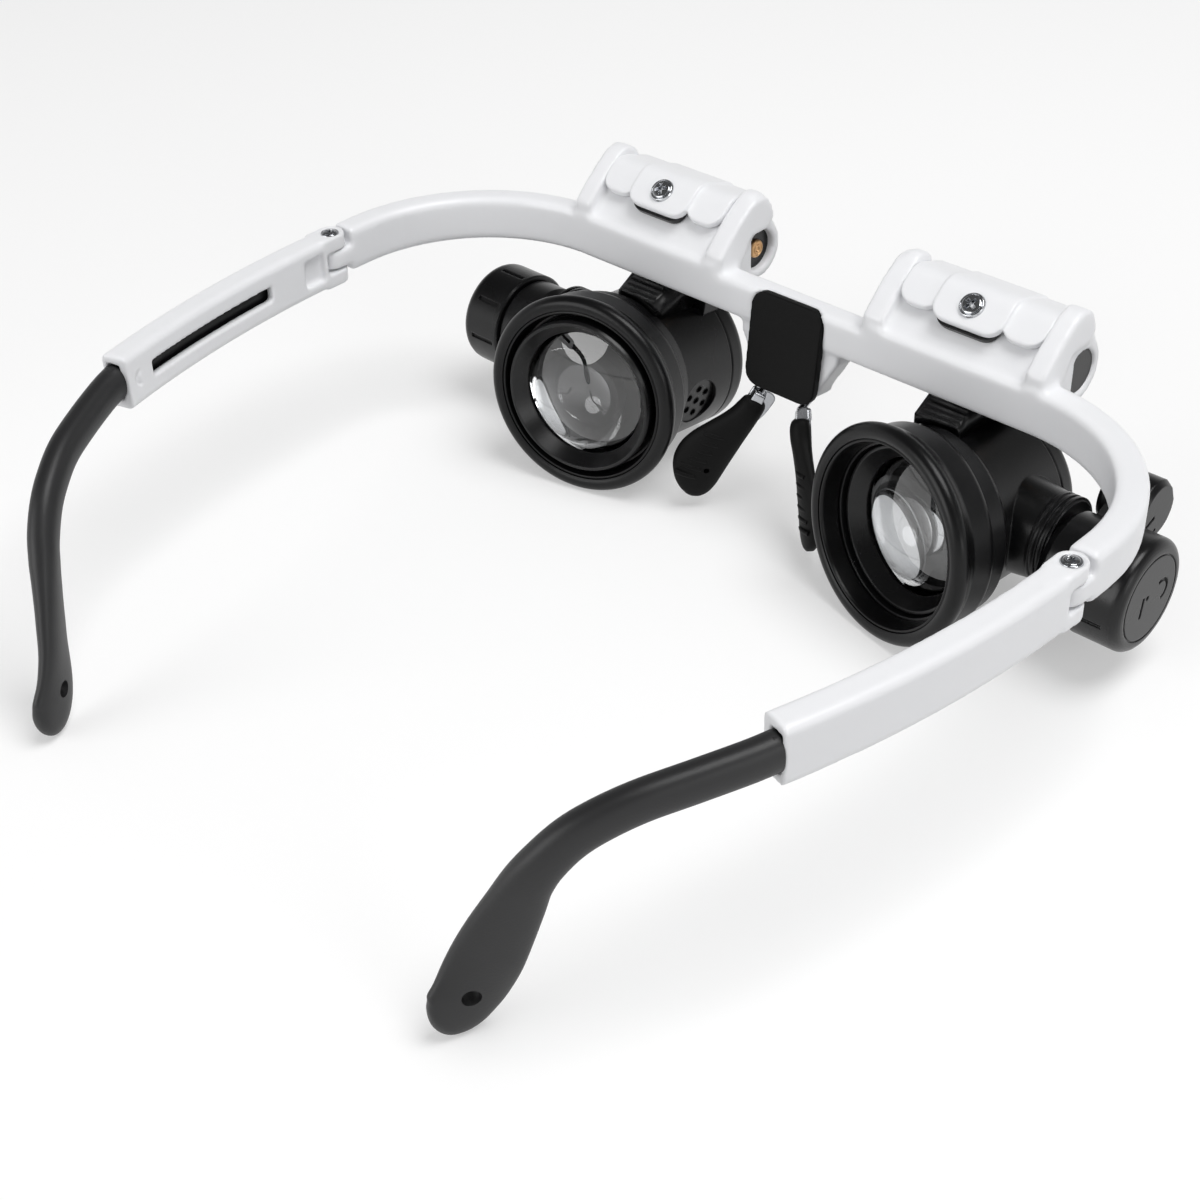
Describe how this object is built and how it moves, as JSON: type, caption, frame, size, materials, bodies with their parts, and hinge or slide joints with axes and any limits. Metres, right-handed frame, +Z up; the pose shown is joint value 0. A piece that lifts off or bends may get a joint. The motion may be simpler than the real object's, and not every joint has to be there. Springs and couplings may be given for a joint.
{
  "type": "lighted loupe eyewear",
  "caption": "White frame like spectacles carrying two tilting loupes with soft eyecups, side lamps, a brow pad and temples whose arms slide to length.",
  "frame": {"origin": "centre of the bounding box, on the surface the eyewear rests on", "axes": "+Z up, -Y the way the wearer looks, +X towards the wearer's left"},
  "size_m": [0.1462, 0.1358, 0.0508],
  "materials": {
    "white_shell": "white satin injection moulded plastic",
    "black_shell": "black satin moulded plastic",
    "black_rubber": "soft black rubber, satin",
    "soft_pad": "soft black silicone, matt",
    "clear_lens": "clear polished lens",
    "chrome_steel": "bright plated steel",
    "plate_steel": "plain steel",
    "brass_rod": "turned brass",
    "cell_steel": "plated steel can",
    "contact_brass": "plated brass",
    "board_green": "glass fibre board",
    "led_yellow": "lamp chip under clear resin"
  },
  "bodies": {
    "frame": {"front_frame": "white_shell", "brow_pad": "soft_pad", "nose_wire": "chrome_steel", "left_rod": "brass_rod", "right_rod": "brass_rod", "left_rod_bushes": "black_shell", "right_rod_bushes": "black_shell"},
    "left_sleeve": {"left_temple_sleeve": "white_shell", "left_hinge_screw": "chrome_steel"},
    "left_arm": {"left_temple_arm": "black_shell"},
    "left_loupe": {"left_carriage": "black_shell", "left_tilt_cap": "white_shell", "left_cap_screw": "chrome_steel", "left_barrel": "black_shell", "left_front_ring": "black_shell", "left_front_lens": "clear_lens", "left_vent": "black_shell", "left_eyecup": "black_rubber"},
    "left_cell": {"left_lens_cell": "black_shell", "left_eye_lens": "clear_lens"},
    "left_lamp": {"left_lamp_body": "black_shell", "left_button_cells": "cell_steel", "left_contact_disc": "contact_brass", "left_led_board": "board_green", "left_led": "led_yellow", "left_lamp_lens": "clear_lens"},
    "left_battery_door": {"left_battery_cap": "black_shell"},
    "left_nose": {"left_nose_plate": "plate_steel", "left_nose_pad": "soft_pad"},
    "right_sleeve": {"right_temple_sleeve": "white_shell", "right_hinge_screw": "chrome_steel"},
    "right_arm": {"right_temple_arm": "black_shell"},
    "right_loupe": {"right_carriage": "black_shell", "right_tilt_cap": "white_shell", "right_cap_screw": "chrome_steel", "right_barrel": "black_shell", "right_front_ring": "black_shell", "right_front_lens": "clear_lens", "right_vent": "black_shell", "right_eyecup": "black_rubber"},
    "right_cell": {"right_lens_cell": "black_shell", "right_eye_lens": "clear_lens"},
    "right_lamp": {"right_lamp_body": "black_shell", "right_button_cells": "cell_steel", "right_contact_disc": "contact_brass", "right_led_board": "board_green", "right_led": "led_yellow", "right_lamp_lens": "clear_lens"},
    "right_battery_door": {"right_battery_cap": "black_shell"},
    "right_nose": {"right_nose_plate": "plate_steel", "right_nose_pad": "soft_pad"}
  },
  "joints": [
    {"name": "left_temple_fold", "type": "hinge", "parent": "frame", "child": "left_sleeve", "pos_m": [0.0708, -0.01771, 0.0358], "axis": [0, 0, 1], "range_deg": [0, 82]},
    {"name": "left_arm_length", "type": "hinge", "parent": "left_sleeve", "child": "left_arm", "pos_m": [-0.10517, -0.02078, 0.0359], "axis": [0, 0, 1], "range_deg": [0, 4.88]},
    {"name": "left_loupe_tilt", "type": "hinge", "parent": "frame", "child": "left_loupe", "pos_m": [0.03, -0.06101, 0.0386], "axis": [-1, 0, 0], "range_deg": [0, 16]},
    {"name": "left_focus", "type": "slide", "parent": "left_loupe", "child": "left_cell", "axis": [0.2406, -0.965, -0.1045], "range_m": [0, 0.0046]},
    {"name": "left_lamp_swivel", "type": "hinge", "parent": "left_loupe", "child": "left_lamp", "pos_m": [0.0665, -0.05023, 0.01436], "axis": [-1, 0, 0], "range_deg": [-15, 75]},
    {"name": "left_battery_twist", "type": "hinge", "parent": "left_lamp", "child": "left_battery_door", "pos_m": [0.0665, -0.05023, 0.01436], "axis": [1, 0, 0], "range_deg": [0, 45]},
    {"name": "left_nose_pivot", "type": "hinge", "parent": "frame", "child": "left_nose", "pos_m": [0.0041, -0.04866, 0.02203], "axis": [0.7254, 0.6884, 0], "range_deg": [-8, 8]},
    {"name": "right_temple_fold", "type": "hinge", "parent": "frame", "child": "right_sleeve", "pos_m": [-0.0708, -0.01771, 0.0358], "axis": [0, 0, -1], "range_deg": [0, 72]},
    {"name": "right_arm_length", "type": "hinge", "parent": "right_sleeve", "child": "right_arm", "pos_m": [0.10517, -0.02078, 0.0359], "axis": [0, 0, -1], "range_deg": [0, 4.88]},
    {"name": "right_loupe_tilt", "type": "hinge", "parent": "frame", "child": "right_loupe", "pos_m": [-0.03, -0.06101, 0.0386], "axis": [-1, 0, 0], "range_deg": [0, 16]},
    {"name": "right_focus", "type": "slide", "parent": "right_loupe", "child": "right_cell", "axis": [0.2406, 0.965, 0.1045], "range_m": [0, 0.0046]},
    {"name": "right_lamp_swivel", "type": "hinge", "parent": "right_loupe", "child": "right_lamp", "pos_m": [-0.0665, -0.05023, 0.01436], "axis": [-1, 0, 0], "range_deg": [-67, 23]},
    {"name": "right_battery_twist", "type": "hinge", "parent": "right_lamp", "child": "right_battery_door", "pos_m": [-0.0665, -0.05023, 0.01436], "axis": [-1, 0, 0], "range_deg": [0, 45]},
    {"name": "right_nose_pivot", "type": "hinge", "parent": "frame", "child": "right_nose", "pos_m": [-0.0041, -0.04866, 0.02203], "axis": [0.7254, -0.6884, 0], "range_deg": [-8, 8]}
  ]
}
